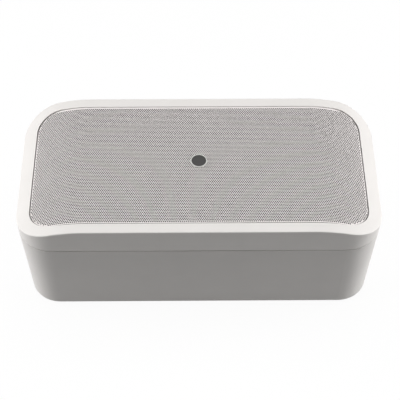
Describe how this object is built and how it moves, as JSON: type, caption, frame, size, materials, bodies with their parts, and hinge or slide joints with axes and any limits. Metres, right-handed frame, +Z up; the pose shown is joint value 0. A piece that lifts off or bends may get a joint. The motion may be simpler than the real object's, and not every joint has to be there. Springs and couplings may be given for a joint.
{
  "type": "compact subwoofer",
  "caption": "Compact rounded subwoofer cabinet with drafted sides, a crowned frame and a formed perforated grille over sprung woofer cones and a reflex port.",
  "frame": {"origin": "on the floor under the feet, in the middle of the length and of the depth", "axes": "+X along the long side, +Y towards the back side with the terminal bay, +Z up through the grille"},
  "size_m": [0.325, 0.1574, 0.1212],
  "materials": {
    "shell_plastic": "fine moulded texture, warm white",
    "grille_metal": "powder coat, warm white, perforated",
    "scrim_cloth": "black acoustic cloth",
    "badge_plastic": "dark blank disc with a light raised ring",
    "seal_foam": "closed-cell foam, black",
    "inner_plastic": "black moulding",
    "header_plastic": "black connector moulding",
    "pin_metal": "bright pin",
    "brass_insert": "turned brass",
    "screw_steel": "zinc-plated screw",
    "board_laminate": "green circuit laminate",
    "ferrite": "sintered ferrite, dark grey",
    "copper_wire": "enamelled copper wire",
    "capacitor_case": "film capacitor case",
    "wadding": "polyester wadding",
    "foot_rubber": "black rubber foot",
    "surround_rubber": "butyl half roll",
    "cone_paper": "coated pressed pulp, black",
    "former_metal": "thin rolled foil",
    "spider_cloth": "resin-dipped corrugated cloth",
    "motor_steel": "plated mild steel",
    "basket_steel": "black pressed steel",
    "tag_laminate": "fibre tag board",
    "lead_jacket": "twin lead jacket"
  },
  "bodies": {
    "cabinet": {"basket_left": "basket_steel", "basket_right": "basket_steel", "board_screws": "screw_steel", "bracket_inserts": "brass_insert", "damping_pad": "wadding", "driver_gasket_left": "seal_foam", "driver_gasket_right": "seal_foam", "driver_lead_left": "lead_jacket", "driver_lead_right": "lead_jacket", "driver_screws_left": "screw_steel", "driver_screws_right": "screw_steel", "filter_board": "board_laminate", "filter_capacitors": "capacitor_case", "filter_inductor": "copper_wire", "foot_back_left": "foot_rubber", "foot_back_right": "foot_rubber", "foot_front_left": "foot_rubber", "foot_front_right": "foot_rubber", "frame_screws": "screw_steel", "front_frame": "shell_plastic", "grille": "grille_metal", "grille_badge": "badge_plastic", "grille_scrim": "scrim_cloth", "header_pins": "pin_metal", "inductor_core": "ferrite", "input_lead": "lead_jacket", "lead_tag_left": "tag_laminate", "lead_tag_right": "tag_laminate", "magnet_left": "ferrite", "magnet_right": "ferrite", "port_tube": "inner_plastic", "rear_cabinet": "shell_plastic", "seam_gasket": "seal_foam", "spider_left": "spider_cloth", "spider_right": "spider_cloth", "surround_left": "surround_rubber", "surround_right": "surround_rubber", "terminal_gasket": "seal_foam", "terminal_header": "header_plastic", "terminal_plate": "inner_plastic", "terminal_screws": "screw_steel", "top_plate_left": "motor_steel", "top_plate_right": "motor_steel", "yoke_left": "motor_steel", "yoke_right": "motor_steel"},
    "woofer_cone_left": {"cone_left": "cone_paper", "dust_cap_left": "cone_paper", "coil_former_left": "former_metal", "voice_coil_left": "copper_wire"},
    "woofer_cone_right": {"cone_right": "cone_paper", "dust_cap_right": "cone_paper", "coil_former_right": "former_metal", "voice_coil_right": "copper_wire"}
  },
  "joints": [
    {"name": "left_cone_travel", "type": "slide", "parent": "cabinet", "child": "woofer_cone_left", "axis": [0, 0, 1], "range_m": [-0.004, 0.004], "stiffness_N_per_m": 1400, "deforming": ["surround_left", "spider_left"]},
    {"name": "right_cone_travel", "type": "slide", "parent": "cabinet", "child": "woofer_cone_right", "axis": [0, 0, 1], "range_m": [-0.004, 0.004], "stiffness_N_per_m": 1400, "deforming": ["surround_right", "spider_right"]}
  ]
}
